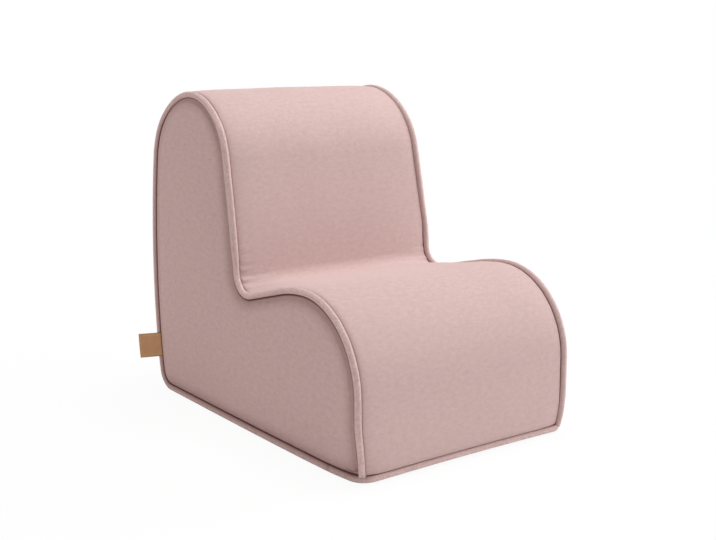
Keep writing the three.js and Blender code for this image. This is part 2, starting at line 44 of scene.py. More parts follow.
# Sizes in millimetres, the same values as the solids have.
BODY_WIDTH = 344
BODY_HEIGHT = 451.5
CREST_HEIGHT = 217.5
SEAT_DIP = 28.5
NOSE_RADIUS = 113
TOE_LEAN = radians(0.5)
CREST_RADIUS = 210
SEAT_SLOPE = radians(15)
CREASE_RADIUS = 32
BACK_LEAN = radians(10)
TOP_RADIUS = 103
REAR_RADIUS = 1800
BELLY_HEIGHT = 245
HEEL_RADIUS = 26
BASE_LIFT = 2.2
WAIST_HEIGHT = 80
BASE_DRAW = 2
TOP_DRAW = 11.3
PIPING_RADIUS = 4.3
PIPING_INSET = 0.9
CORD_RADIUS = 3
PIPING_PROUD = PIPING_RADIUS - PIPING_INSET
PIPING_JOINT = 60
ZIP_HEIGHT = 62
ZIP_OPENING = 13
TAG_THICKNESS = 2.2

# The tab and the floor corners, left and right, are a little nearer to the real ones than the solids are.
TAG_LEVEL = 68.6
TAG_HEIGHT = 36.4
TAG_LENGTH = 31.8
FLOOR_CORNERS = (22, 15)

HALF = BODY_WIDTH / 2
LEVEL = PIPING_PROUD + BASE_LIFT
MM = 0.001
UP_ANGLE = pi / 2
CORNER_HEIGHT = 60
CORNER_REACH = 34
CORNER_DRAWS = [r * (1 - sqrt(0.5)) for r in FLOOR_CORNERS]

# How the sewn cover gives. The side's floor edge sags in the middle of its length.
SIDE_SAG, SAG_HEIGHT = 2.2, 30
# The front's floor edge is lifted between its corners.
FRONT_LIFT, LIFT_HEIGHT, LIFT_REACH = 1.6, 40, 60
# The seam of the left front corner leans inwards at its foot.
CORNER_LEAN, LEAN_TOP, LEAN_BLEND, LEAN_REACH = 3.2, 80, 45, 70
# The sides are pinched in beside the crease, each between two heights that have a length to blend over.
PINCH, PINCH_REACH = 4.4, 80
PINCH_LEFT = (140, 100, 260, 190)
PINCH_RIGHT = (150, 50, 212, 45)
# The seat's crest is lower towards the right, and the top is lower towards the left.
CREST_DROP, CREST_PLACE, CREST_SPREAD, CREST_START, CREST_BLEND = 2.8, -110, 60, 100, 80
TOP_DROP, TOP_REACH, TOP_START, TOP_BLEND = 1.5, 200, 390, 50

# Clear of the seams the cloth spans the hollow between the seat and the back a little.
SPAN_SLOPE = radians(9)
SPAN_RADIUS = 19
SPAN_BACK = 80
SPAN_START, SPAN_BLEND = 5, 46

# Small folds in the crease: their spacing, their height at the left and right seam, and how far they reach.
PUCKER_PITCH = 14
PUCKER_SIZES = (1.25, 0.9)
PUCKER_REACH = 30
PUCKER_FADE = 17

# A short fold rises from the left floor edge to the front corner: its groove, and its level near the corner.
FOLD_DEPTH, FOLD_WIDTH = 1.5, 1.3
FOLD_LEVEL, FOLD_FALL = 11.2, 4

# A panel's height above the outline, by its distance from the corner line that the piping covers.
STRIP_EDGE = [
    (5.2, -5), (5.25, -1.6), (5.4, 0.1), (5.9, 1.1), (7.5, 1.9), (11, 2.4), (17.5, 2.8), (26, 3.1),
    (38, 3.3), (60, 3.4),
]
SIDE_EDGE = [
    (5.2, -5), (5.6, -2.9), (6.3, -1.2), (8, 0.2), (11, 1.1), (16, 1.9), (23, 2.5), (32, 2.9),
    (46, 3.2), (70, 3.4),
]
STRIP_LOW, STRIP_HIGH = STRIP_EDGE[0][1], STRIP_EDGE[-1][1]
# How far a strip turns down at its hem beside the zip, with the dent of its stitches, and is folded in there.
HEM_EDGE = [(0, -1.9), (0.3, -0.8), (0.9, -0.25), (1.8, 0), (5.4, 0), (6.2, -0.45), (7, 0)]
HEM_FOLD = (2, 4)
HEM_DROP = 0.35
FLOOR_GAP = 0.2
# The strip's edge lies further in beside the right piping.
EDGE_SHIFT = 2.1
# A panel is held as far as this from its seam, and is free a little further in.
SEWN, SEWN_BLEND = 8.6, 9


def edge_height(table, distance):
    return np.interp(distance, *zip(*table))


def strip_share(distance):
    return (edge_height(STRIP_EDGE, distance) - STRIP_LOW) / (STRIP_HIGH - STRIP_LOW)


def smooth(share):
    share = np.clip(share, 0, 1)
    return share * share * (3 - 2 * share)


def rise(value, start, blend):
    """0 up to a start, then smoothly up to 1."""
    return smooth((value - start) / blend)


def fall(value, end, blend):
    """1 that goes smoothly down to 0 at an end."""
    return smooth((end - value) / blend)


def near(distance, reach):
    """1 at no distance, smoothly down to 0 at the reach."""
    return smooth(1 - distance / reach)


def band(value, start, start_blend, end, end_blend):
    return rise(value, start, start_blend) * (1 - rise(value, end, end_blend))


def at_floor(z, height):
    return np.clip((height - z) / height, 0, 1)


def same(a, b):
    return abs(a - b) < 1e-9


# Outline of the side: circles and straight lines in turn, from the foot over the seat and back to the rear.
heel_z = LEVEL + HEEL_RADIUS
heel_y = -REAR_RADIUS + sqrt((REAR_RADIUS - HEEL_RADIUS) ** 2 - (BELLY_HEIGHT - heel_z) ** 2)
top_z = BODY_HEIGHT - TOP_RADIUS
top_y = -REAR_RADIUS + sqrt((REAR_RADIUS - TOP_RADIUS) ** 2 - (top_z - BELLY_HEIGHT) ** 2)
crease_z = CREST_HEIGHT - SEAT_DIP + CREASE_RADIUS
back_top_y = top_y - TOP_RADIUS * cos(BACK_LEAN)
back_top_z = top_z + TOP_RADIUS * sin(BACK_LEAN)
back_length = (back_top_z + CREASE_RADIUS * sin(BACK_LEAN) - crease_z) / cos(BACK_LEAN)
crease_y = back_top_y - back_length * sin(BACK_LEAN) - CREASE_RADIUS * cos(BACK_LEAN)
ramp_y = crease_y - CREASE_RADIUS * sin(SEAT_SLOPE)
ramp_z = crease_z - CREASE_RADIUS * cos(SEAT_SLOPE)
crest_z = CREST_HEIGHT - CREST_RADIUS
crest_y = ramp_y - (CREST_RADIUS - (ramp_z - crest_z) * cos(SEAT_SLOPE)) / sin(SEAT_SLOPE)
nose_z = CREST_HEIGHT - NOSE_RADIUS
toe_top_y = crest_y - NOSE_RADIUS * cos(TOE_LEAN)
toe_top_z = nose_z + NOSE_RADIUS * sin(TOE_LEAN)
toe_length = (toe_top_z - LEVEL) / cos(TOE_LEAN)
DEPTH = toe_length * sin(TOE_LEAN) - toe_top_y
FOOT_Y = -DEPTH / 2

# Which way the outline faces.
TOE_ANGLE = pi - TOE_LEAN
RAMP_ANGLE = UP_ANGLE - SEAT_SLOPE
BACK_ANGLE = pi - BACK_LEAN
BASE_ANGLE = -pi / 2
ZIP_ANGLE = asin((ZIP_HEIGHT - BELLY_HEIGHT) / REAR_RADIUS)
TOP_REAR_ANGLE = asin((top_z - BELLY_HEIGHT) / (REAR_RADIUS - TOP_RADIUS))
HEEL_REAR_ANGLE = -asin((BELLY_HEIGHT - heel_z) / (REAR_RADIUS - HEEL_RADIUS))


def arc(centre_y, centre_z, radius, start, end, step, side=1):
    """Stations on a circle, or in a hollow where side is -1: each is y, z and the angle the outline faces."""
    count = max(2, ceil(abs(end - start) * radius / step), ceil(abs(end - start) / radians(5)))
    angles = np.linspace(start, end, count + 1)
    y = DEPTH / 2 + centre_y + side * radius * np.cos(angles)
    z = centre_z + side * radius * np.sin(angles)
    return np.c_[y, z, angles]


def joined(parts, step):
    """One row of stations from arcs and lines, with points put in on long straight stretches."""
    rows = [np.array(parts[0][0])]
    for part in parts:
        for row in np.array(part):
            length = hypot(row[0] - rows[-1][0], row[1] - rows[-1][1])
            if length < 1e-6:
                continue
            count = max(1, ceil(length / step - 0.01))
            rows.extend(rows[-1] + (row - rows[-1]) * i / count for i in range(1, count + 1))
    return np.array(rows)


def on_toe(distance):
    y = FOOT_Y + distance * sin(TOE_LEAN)
    return [y, LEVEL + distance * cos(TOE_LEAN), TOE_ANGLE]


def on_base(distance):
    return [FOOT_Y + distance, LEVEL, BASE_ANGLE]


def on_back(distance):
    """A station on the back, a distance above its curve into the seat."""
    y = DEPTH / 2 + back_top_y - (back_length - distance) * sin(BACK_LEAN)
    return [y, back_top_z - (back_length - distance) * cos(BACK_LEAN), BACK_ANGLE]


def on_rear(distance):
    """A station on the rear, a distance above the middle of the zip."""
    angle = ZIP_ANGLE + distance / REAR_RADIUS
    y = DEPTH / 2 + REAR_RADIUS * (cos(angle) - 1)
    return [y, BELLY_HEIGHT + REAR_RADIUS * sin(angle), angle]


EDGE_STEPS = [q for q, _ in STRIP_EDGE]
HEM_STEPS = [0, 0.3, 0.9, 1.8, 3.2, 4.8, 5.7, 6.2, 6.7, 7.6, 9.5, 13.0]


def seat_arcs(step, crease_step):
    """From the front over the nose and the seat's crest, and through the crease."""
    return [
        arc(crest_y, nose_z, NOSE_RADIUS, TOE_ANGLE, UP_ANGLE, step),
        arc(crest_y, crest_z, CREST_RADIUS, UP_ANGLE, RAMP_ANGLE, step),
        arc(crease_y, crease_z, CREASE_RADIUS, RAMP_ANGLE, BACK_ANGLE, crease_step, -1),
    ]


def top_arc(step):
    return arc(top_y, top_z, TOP_RADIUS, BACK_ANGLE, TOP_REAR_ANGLE, step)


def heel_arc(step):
    return arc(heel_y, heel_z, HEEL_RADIUS, HEEL_REAR_ANGLE, BASE_ANGLE, step)


def main_stations(step):
    return joined([
        [on_toe(q) for q in EDGE_STEPS],
        *seat_arcs(step, step * 0.36),
        [on_back(q) for q in np.arange(2.5, 36, 2.5)],
        top_arc(step),
        [on_rear(ZIP_OPENING / 2 + q) for q in reversed(HEM_STEPS)],
    ], step)


def base_stations(step):
    return joined([
        [on_rear(-ZIP_OPENING / 2 - q) for q in HEM_STEPS],
        heel_arc(step),
        [on_base(q) for q in reversed(EDGE_STEPS)],
    ], step)


def loop_stations(step):
    """The whole outline from the foot round to the foot, without the zip's rows."""
    return joined([
        [on_toe(q) for q in (0, 4)],
        *seat_arcs(step, step * 0.6),
        top_arc(step),
        arc(-REAR_RADIUS, BELLY_HEIGHT, REAR_RADIUS, TOP_REAR_ANGLE, HEEL_REAR_ANGLE, step),
        heel_arc(step),
        [on_base(q) for q in (4, 0)],
    ], step)


def run_length(stations):
    return np.r_[0, np.cumsum(np.hypot(*np.diff(stations[:, :2], axis=0).T))]


def row_at(stations, y, z):
    return int(np.argmin(np.hypot(stations[:, 0] - y, stations[:, 1] - z)))


def spanned(stations):
    """The stations of the main strip where its cloth spans the hollow between the seat and the back."""
    lean = np.array([sin(BACK_LEAN), cos(BACK_LEAN)])
    top = np.array([back_top_y, back_top_z])
    from_back = np.array([-cos(BACK_LEAN), sin(BACK_LEAN)]) * SPAN_RADIUS
    up = np.array([sin(SPAN_SLOPE), cos(SPAN_SLOPE)])
    ramp_start = np.array([crest_y, crest_z]) + CREST_RADIUS * up
    down = ((top + from_back - ramp_start) @ up - SPAN_RADIUS) / (lean @ up)
    centre = top + from_back - down * lean
    end = top - (back_length - SPAN_BACK) * lean
    free = joined([
        arc(crest_y, crest_z, CREST_RADIUS, UP_ANGLE, UP_ANGLE - SPAN_SLOPE, 3),
        arc(*centre, SPAN_RADIUS, UP_ANGLE - SPAN_SLOPE, BACK_ANGLE, 2, -1),
        [[DEPTH / 2 + end[0], end[1], BACK_ANGLE]],
    ], 3)
    length = run_length(stations)
    held = length - length[row_at(stations, DEPTH / 2 + crest_y, CREST_HEIGHT)]
    reach = held[row_at(stations, *on_back(0)[:2])] + SPAN_BACK
    along = run_length(free)
    out = stations.copy()
    moved = (held >= 0) & (held <= reach)
    for column in range(3):
        out[moved, column] = np.interp(held[moved] / reach * along[-1], along, free[:, column])
    return out


def puckers(stations, x):
    """Where the piping gathers the cloth in the crease, dying out away from the seams."""
    length = run_length(stations)
    middle = length[row_at(stations, *on_back(0)[:2])] - CREASE_RADIUS * 0.45
    away = (length - middle)[:, None]
    seam = HALF - np.abs(x)
    shift = np.where(x < 0, 0.6, 2.4)
    wave = np.sin(tau * away / PUCKER_PITCH + shift + seam * 0.05) + 0.5 * np.sin(away / 1.3 + 2 * shift)
    fade = np.exp(-(away / PUCKER_REACH) ** 2) * np.exp(-np.maximum(seam - 7, 0) / PUCKER_FADE)
    return np.where(x < 0, *PUCKER_SIZES) * wave * fade * (seam > 5.5)


def shaped(points, corners):
    """Millimetre points with the body's narrowing and the give of its cover put in, in metres."""
    x, y, z = np.moveaxis(np.array(points, dtype=float), -1, 0)
    low = np.clip((WAIST_HEIGHT - z) / WAIST_HEIGHT, 0, 1.2)
    high = np.clip((z - WAIST_HEIGHT) / (BODY_HEIGHT - WAIST_HEIGHT), 0, 1.2)
    share = 1 - (BASE_DRAW * low ** 2 + TOP_DRAW * high ** 2) / HALF
    behind = y - (FOOT_Y + np.maximum(z - LEVEL, 0) * tan(TOE_LEAN))

    pull = np.where(x < 0, *CORNER_DRAWS) * near(np.maximum(HALF - np.abs(x), behind), CORNER_REACH)
    pull *= at_floor(z, CORNER_HEIGHT) ** 2 * corners
    lean = CORNER_LEAN * fall(z, LEAN_TOP, LEAN_BLEND) * near(np.maximum(HALF + x, behind), LEAN_REACH)
    along = np.sin(pi * np.clip((y - FOOT_Y) / DEPTH, 0, 1) ** 0.7)
    sag = SIDE_SAG * at_floor(z, SAG_HEIGHT) * (along * np.clip(np.abs(x) / HALF, 0, 1) ** 2)
    between = np.cos(UP_ANGLE * np.clip(x / HALF, -1, 1)) * near(behind, LIFT_REACH)
    lift = FRONT_LIFT * at_floor(z, LIFT_HEIGHT) * between

    foot_y, foot_z, _ = on_back(0)
    beside = near(np.abs(y - foot_y - (z - foot_z) * tan(BACK_LEAN)), PINCH_REACH)
    share = share - PINCH / HALF * beside * np.where(x < 0, band(z, *PINCH_LEFT), band(z, *PINCH_RIGHT))
    crest = CREST_DROP * smooth((HALF + x) / BODY_WIDTH) * np.exp(-((y - CREST_PLACE) / CREST_SPREAD) ** 2)
    crest = crest * rise(z, CREST_START, CREST_BLEND)
    top = TOP_DROP * near(x + HALF, TOP_REACH) * rise(z, TOP_START, TOP_BLEND)
    out = [(x - np.sign(x) * pull + lean) * share, y + pull, z - sag + lift - crest - top]
    return np.stack(out, axis=-1) * MM


def wobble(points, size, seed):
    """Even, repeatable unevenness from -1 to 1 at points in metres."""
    shift = Vector((seed * 3.1, seed * 7.7, seed * 1.3))
    return np.array([noise.noise(Vector(p) / size + shift) for p in points])


def added(name, data):
    obj = bpy.data.objects.new(name, data)
    scene.collection.objects.link(obj)
    return obj


def new_mesh(name, points, faces, uvs=None, shade_marks=None, corners=True):
    """A smooth piece from points, texture places and the marks that place the painted seam shade, in
    millimetres.
    """
    mesh = bpy.data.meshes.new(name)
    mesh.from_pydata(shaped(points, corners).reshape(-1, 3), [], faces)
    loops = np.empty(len(mesh.loops), dtype=np.int32)
    mesh.loops.foreach_get("vertex_index", loops)
    for label, values in (("UVMap", uvs), ("Seam", shade_marks)):
        if values is not None:
            values = (np.reshape(values, (-1, 2)) * MM).astype(np.float32)
            mesh.uv_layers.new(name=label).data.foreach_set("uv", values[loops].ravel())
    obj = added(name, mesh)
    mesh.polygons.foreach_set("use_smooth", [True] * len(mesh.polygons))
    mesh.validate()
    return obj


def face_out(obj, join=False, side=0):
    """Turn a piece's faces outwards, or to the side it is on, after joining the points that coincide."""
    work = bmesh.new()
    work.from_mesh(obj.data)
    if join:
        bmesh.ops.remove_doubles(work, verts=work.verts, dist=0.05 * MM)
    bmesh.ops.recalc_face_normals(work, faces=work.faces)
    if side and sum(f.normal.x * f.calc_area() for f in work.faces) * side < 0:
        bmesh.ops.reverse_faces(work, faces=work.faces)
    work.to_mesh(obj.data)
    work.free()
    return obj


def dressed(obj, look, node=None, body="chair"):
    """Give a piece its material and the body it rides on, and hide the solid it stands for."""
    obj.data.materials.append(look)
    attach(obj, body)
    if node:
        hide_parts(node)


def grid_faces(rows, columns, closed=False):
    faces = []
    for r in range(rows - 1):
        for c in range(columns if closed else columns - 1):
            n = (c + 1) % columns
            faces.append((r * columns + c, r * columns + n, (r + 1) * columns + n, (r + 1) * columns + c))
    return faces


def moved_faces(faces, start):
    return [tuple(start + i for i in f) for f in faces]


def tube_faces(rows, sides):
    """The faces of a tube with closed ends."""
    last = (rows - 1) * sides
    ends = [range(sides), range(last + sides - 1, last - 1, -1)]
    return grid_faces(rows, sides, closed=True) + ends


# Camera, where the photograph was taken from.
camera_data = bpy.data.cameras.new("camera")
camera_data.lens = 56.32
camera_data.sensor_width = 36
camera = added("camera", camera_data)
camera.location = (-0.9148, -1.2632, 0.5077)
camera.rotation_euler = Euler((radians(90 - 11.07), 0, radians(-36.48)))
scene.camera = camera


# Materials.
def srgb(r, g, b):
    def linear(value):
        value /= 255
        return value / 12.92 if value <= 0.04045 else ((value + 0.055) / 1.055) ** 2.4
    return (linear(r), linear(g), linear(b), 1)


class Nodes:
    """Short names for building the node tree of a material or of the world."""

    def __init__(self, owner):
        owner.use_nodes = True
        self.owner = owner
        self.tree = owner.node_tree
        self.shader = self.tree.nodes.get("Principled BSDF")

    def add(self, kind, inputs=None, **settings):
        node = self.tree.nodes.new(kind)
        for key, value in settings.items():
            setattr(node, key, value)
        for key, value in (inputs or {}).items():
            if isinstance(value, bpy.types.NodeSocket):
                self.tree.links.new(value, node.inputs[key])
            else:
                node.inputs[key].default_value = value
        return node

    def place(self):
        return self.add("ShaderNodeTexCoord").outputs["Object"]

    def uv(self, name="UVMap"):
        return self.add("ShaderNodeUVMap", uv_map=name).outputs[0]

    def split(self, vector):
        return self.add("ShaderNodeSeparateXYZ", {0: vector}).outputs

    def math(self, operation, a, b=0):
        return self.add("ShaderNodeMath", {0: a, 1: b}, operation=operation).outputs[0]

    def plus(self, a, b):
        return self.math("ADD", a, b)

    def less(self, a, b):
        return self.math("SUBTRACT", a, b)

    def times(self, a, b):
        return self.math("MULTIPLY", a, b)

    def wave(self, value, length):
        """A sine with one turn in a length."""
        return self.math("SINE", self.times(value, tau / length))

    def noise(self, vector, scale, detail=2, roughness=0.5):
        inputs = {"Vector": vector, "Scale": scale, "Detail": detail, "Roughness": roughness}
        return self.add("ShaderNodeTexNoise", inputs).outputs["Fac"]

    def cells(self, vector, scale):
        return self.add("ShaderNodeTexVoronoi", {"Vector": vector, "Scale": scale}).outputs["Distance"]

    def stretched(self, vector, scale):
        return self.add("ShaderNodeVectorMath", {0: vector, 1: scale}, operation="MULTIPLY").outputs[0]

    def mix(self, factor, a, b):
        """A colour between two: the node has its colours in sockets 6 and 7 and in output 2."""
        return self.add("ShaderNodeMix", {0: factor, 6: a, 7: b}, data_type="RGBA").outputs[2]

    def ramp(self, factor, low, high):
        """0 up to a low value and 1 from a high one on."""
        return self.add("ShaderNodeMapRange", {0: factor, 1: low, 2: high}).outputs[0]

    def bump(self, height, strength, distance, normal=None):
        inputs = {"Height": height, "Strength": strength, "Distance": distance}
        if normal is not None:
            inputs["Normal"] = normal
        return self.add("ShaderNodeBump", inputs).outputs[0]

    def link(self, socket, name):
        self.tree.links.new(socket, self.shader.inputs[name])

    def tint(self, factor, low, high, dark, light):
        self.link(self.mix(self.ramp(factor, low, high), srgb(*dark), srgb(*light)), "Base Color")

    def set(self, **values):
        for key, value in values.items():
            self.shader.inputs[key.replace("_", " ")].default_value = value


def material(name):
    return Nodes(bpy.data.materials.new(name))


def painted_seam_shade(soft, reach, line):
    """Painted shade: a dark line where a panel turns down beside the piping, and a soft painted fall-off of
    shade next to it.
    """
    def shade(n, tone):
        split = n.split(n.uv("Seam"))
        past = n.less(split[0], split[1])
        painted_line_shade = n.less(1, n.ramp(past, -0.0005, 0.0007))
        painted_soft_shade = n.less(1, n.ramp(past, 0, reach))
        tone = n.mix(n.times(painted_soft_shade, soft), tone, srgb(150, 110, 105))
        return n.mix(n.times(painted_line_shade, 0.85), tone, line)
    return shade


# Spacing of the piping's slanted ribs and of the panels' yarns, in metres, and the scale of the felt's grain.
TWILL = 0.0026
YARN = 0.00085
FELT = (100, 190, 1)


def piping_painted_light(n, tone):
    """Piping: the ridge is lighter with a mottled painted highlight, and the flanks that meet the panels are
    dim with painted shade.
    """
    split = n.split(n.uv())
    turn = n.math("ABSOLUTE", n.math("DIVIDE", split[0], PIPING_RADIUS * MM))
    painted_flank_shade = n.ramp(turn, radians(112), radians(124))
    ridge = n.less(1, n.ramp(turn, radians(40), radians(100)))
    mottle = n.ramp(n.noise(n.place(), 300), 0.36, 0.64)
    painted_highlight = n.times(ridge, n.plus(n.times(mottle, 0.6), 0.25))
    tone = n.mix(painted_highlight, tone, srgb(232, 205, 201))
    slant = n.plus(split[0], n.times(split[1], 0.8))
    twill = n.ramp(n.wave(slant, TWILL), -1, 1)
    tone = n.mix(n.times(twill, 0.3), tone, srgb(172, 140, 136))
    return n.mix(n.times(painted_flank_shade, 0.85), tone, srgb(148, 98, 92))


def fabric(name, colour, light, dark, shade, fibre, turn=0):
    """Short-napped upholstery cloth: crossed yarns, a melange of shades, soft pile on top."""
    n = material(name)
    uv = n.uv()
    if turn:
        uv = n.add("ShaderNodeVectorRotate", {"Vector": uv, "Angle": turn}, rotation_type="Z_AXIS").outputs[0]
    place = n.place()
    warp = n.noise(n.stretched(uv, (900, 160, 1)), 1)
    weft = n.noise(n.stretched(uv, (160, 900, 1)), 1)
    yarn = n.plus(n.times(warp, 0.5), n.times(weft, 0.5))
    cloud = n.noise(place, 42, 3)
    speck = n.noise(place, 520)
    tone = n.mix(n.ramp(yarn, 0.36, 0.64), dark, light)
    tone = n.mix(n.times(n.ramp(speck, 0.35, 0.65), 0.35), tone, colour)
    tone = n.mix(n.times(n.ramp(cloud, 0.3, 0.7), 0.25), tone, light)
    felt = n.noise(n.stretched(uv, fibre), 1, 5, 0.78)
    tone = n.mix(0.62, tone, n.mix(n.ramp(felt, 0.34, 0.66), dark, light))
    # The shade given paints light into the colour: shade beside the panels' seams, and on the piping a
    # highlight on the ridge with shade on the flanks.
    n.link(shade(n, tone), "Base Color")
    split = n.split(uv)
    weave = n.times(n.wave(split[0], YARN), n.wave(split[1], YARN))
    height = n.plus(n.times(weave, 0.35), n.noise(place, 1900))
    fine = n.bump(height, 0.35, 0.00025)
    n.link(n.bump(n.noise(place, 330, 3), 0.25, 0.0006, fine), "Normal")
    n.set(Roughness=0.95, Sheen_Weight=0.16, Sheen_Roughness=0.45, Sheen_Tint=(1, 0.93, 0.92, 1))
    n.set(Specular_IOR_Level=0.2)
    return n.owner


# Both cover materials paint shade beside their seams; the side panels' copy paints a stronger and wider soft
# fall-off.
cover = fabric("cover_fabric", srgb(207, 178, 175), srgb(216, 188, 184), srgb(197, 168, 165),
               painted_seam_shade(0.12, 0.009, srgb(168, 122, 116)), FELT)
side_cover = fabric("cover_fabric_side", srgb(207, 178, 175), srgb(217, 189, 185), srgb(195, 165, 162),
                    painted_seam_shade(0.48, 0.018, srgb(130, 86, 82)), FELT)
piping_cloth = fabric("piping_fabric", srgb(204, 175, 171), srgb(217, 188, 184), srgb(184, 154, 150),
                      piping_painted_light, (240, 300, 1), turn=0.785)


# Cover strips.
def strip_columns():
    inner = HALF - EDGE_STEPS[-1]
    count = ceil(2 * inner / 8.5)
    middle = np.linspace(-inner, inner, count + 1)[1:-1]
    return np.array([*(-HALF + q for q in EDGE_STEPS), *middle, *(HALF - q for q in reversed(EDGE_STEPS))])


def strip(name, stations, foot_first):
    """A strip of the cover with its hem folded in at the zip, the way it faces and how firmly it is held."""
    x = strip_columns()
    seam = HALF - np.abs(x)
    length = run_length(stations)
    foot, hem = (length, length[-1] - length) if foot_first else (length[-1] - length, length)
    foot = foot + EDGE_STEPS[0]
    flat = np.clip(-stations[:, 2] / UP_ANGLE, 0, 1) ** 2
    full = STRIP_HIGH + (LEVEL - FLOOR_GAP - STRIP_HIGH) * flat
    share = strip_share(seam) * strip_share(foot)[:, None]
    height = STRIP_LOW + (full[:, None] - STRIP_LOW) * share + edge_height(HEM_EDGE, hem)[:, None]

    count = len(stations)
    if foot_first:
        rows = np.r_[0:count, [count - 1] * len(HEM_FOLD)]
        tuck = np.r_[np.zeros(count), HEM_FOLD]
    else:
        rows = np.r_[[0] * len(HEM_FOLD), 0:count]
        tuck = np.r_[-np.array(HEM_FOLD[::-1]), np.zeros(count)]
    h = height[rows] - (tuck != 0)[:, None] * HEM_DROP
    held = stations[rows][:, None]
    if foot_first:
        spread = rise(seam, SPAN_START, SPAN_BLEND)[:, None]
        held = held + (spanned(stations)[rows][:, None] - held) * spread
        h = h + puckers(stations, x)[rows]
    held = np.broadcast_to(held, (*h.shape, 3))
    ny, nz = np.cos(held[..., 2]), np.sin(held[..., 2])
    y = held[..., 0] - tuck[:, None] * nz
    z = held[..., 1] + tuck[:, None] * ny
    beside = near(HALF - x - 6, 24) * (0.55 + 0.45 * rise(z, 250, 60)) * rise(z, 20, 60)
    points = np.stack([x - EDGE_SHIFT * beside * fall(ny, 0.5, 0.5), y + h * ny, z + h * nz], axis=-1)

    uvs = np.stack(np.broadcast_arrays(x, (length[rows] + tuck)[:, None]), axis=-1)
    # Marks for the painted seam shade: the distance from the nearest seam, and how far from it the dark line
    # is painted, a little less far high up.
    shade_line_reach = 5.6 - 0.5 * rise(z, 380, 50)
    shade_marks = np.stack([np.minimum(seam, foot[rows][:, None]), shade_line_reach], axis=-1)
    obj = new_mesh(name, points, grid_faces(len(rows), len(x)), uvs, shade_marks)
    normals = np.stack([np.zeros(h.shape), ny, nz], axis=-1)
    firm = np.maximum(1 - rise(seam, SEWN, SEWN_BLEND), 1 - rise(foot[rows], SEWN, SEWN_BLEND)[:, None])
    firm = np.maximum(firm, 1 - rise(hem[rows], 8, 10)[:, None])
    return obj, normals.reshape(-1, 3), firm.ravel()


# Side panels: rings along the seam, and an even net inside them.
def ring(stations, inset):
    """The outline drawn in by a distance, its front corner at the floor kept square."""
    points = []
    bottom = inset / tan((UP_ANGLE - TOE_LEAN) / 2)
    for y, z, angle in stations:
        ny, nz = cos(angle), sin(angle)
        if same(angle, TOE_ANGLE):
            shift = max(bottom - (z - LEVEL) / cos(TOE_LEAN), 0)
            y, z = y + shift * sin(TOE_LEAN), z + shift * cos(TOE_LEAN)
        elif same(angle, BASE_ANGLE):
            y += max(bottom - (y - FOOT_Y), 0)
        points.append((y - inset * ny, z - inset * nz))
    return np.array(points)


def outline_distance(points, outline):
    edge = np.roll(outline, -1, axis=0) - outline
    size = np.maximum((edge ** 2).sum(1), 1e-12)
    best = np.full(len(points), np.inf)
    for start, along, square in zip(outline, edge, size):
        t = np.clip(((points - start) @ along) / square, 0, 1)
        gap = points - (start + t[:, None] * along)
        best = np.minimum(best, (gap ** 2).sum(1))
    return np.sqrt(best)


def inside(points, outline):
    y, z = points[:, 0], points[:, 1]
    hit = np.zeros(len(points), dtype=bool)
    for (y0, z0), (y1, z1) in zip(outline, np.roll(outline, -1, axis=0)):
        if z0 == z1:
            continue
        crosses = (z0 > z) != (z1 > z)
        hit ^= crosses & (y < (y1 - y0) * (z - z0) / (z1 - z0) + y0)
    return hit


def filled(points, step):
    """An even net of triangles inside a closed outline; the outline's own points come first."""
    apart = 0.3
    seen = []
    for p in points:
        if not seen or dist(p, seen[-1]) > apart:
            seen.append(tuple(p))
    if dist(seen[0], seen[-1]) < apart:
        seen.pop()
    rim = np.array(seen)
    ys = np.arange(rim[:, 0].min(), rim[:, 0].max(), step * 1.15)
    zs = np.arange(rim[:, 1].min(), rim[:, 1].max(), step)
    net = np.array([(y + (i % 2) * step * 0.55, z) for i, z in enumerate(zs) for y in ys])
    net = net[inside(net, rim)]
    net = net[outline_distance(net, rim) > step * 0.6]
    border = [(i, (i + 1) % len(rim)) for i in range(len(rim))]
    verts, _, tris, *_ = delaunay_2d_cdt([Vector(p) for p in (*rim, *net)], border, [], 1, 1e-4)
    return np.array([v[:] for v in verts]), tris


def side_panel(name, side, step):
    stations = loop_stations(step)
    outline = ring(stations, 0)
    insets = sorted([q for q, _ in SIDE_EDGE if q <= 22] + [7.1, 9, 10, 12, 13.2])
    rings = np.concatenate([ring(stations, q) for q in insets])
    count = len(stations)
    net, tris = filled(rings[-count:], step)
    faces = grid_faces(len(insets), count, closed=True) + moved_faces(tris, len(rings))
    flat = np.concatenate([rings, net])
    depth = np.r_[np.repeat(insets, count), outline_distance(net, outline)]
    back = flat[:, 0] - FOOT_Y
    fold = rise(back, 2, 5) * fall(back, 42, 12) * (side < 0)
    away = np.abs(flat[:, 1] - LEVEL - (FOLD_LEVEL - FOLD_FALL * (back - 6) / 30))
    height = edge_height(SIDE_EDGE, depth) - FOLD_DEPTH * fold * np.exp(-(away / FOLD_WIDTH) ** 2)
    points = np.c_[side * (HALF + height), flat]
    if side < 0:
        faces = [tuple(reversed(f)) for f in faces]

    # Painted shade: the dark line beside the piping is widest at the front and narrowest at the floor, and is
    # painted along the fold too.
    closest = np.argmin(np.hypot(flat[:, :1] - stations[:, 0], flat[:, 1:] - stations[:, 1]), axis=1)
    facing = stations[closest, 2]
    ny, nz = np.cos(facing), np.sin(facing)
    shade_line_reach = 6.3 + np.where(ny < 0, -1.5, 0.8) * ny + 0.9 * np.clip(nz, 0, 1)
    shade_distance = np.minimum(depth, shade_line_reach + np.maximum(away - 0.8, -0.15) + 8 * (1 - fold))
    obj = face_out(new_mesh(name, points, faces, flat, np.c_[shade_distance, shade_line_reach]), join=True, side=side)
    place = np.array([v.co[:] for v in obj.data.vertices]) / MM
    firm = 1 - rise(outline_distance(place[:, 1:], outline), 9, 10)
    normals = np.tile([side, 0, 0], (len(place), 1))
    return obj, normals, firm


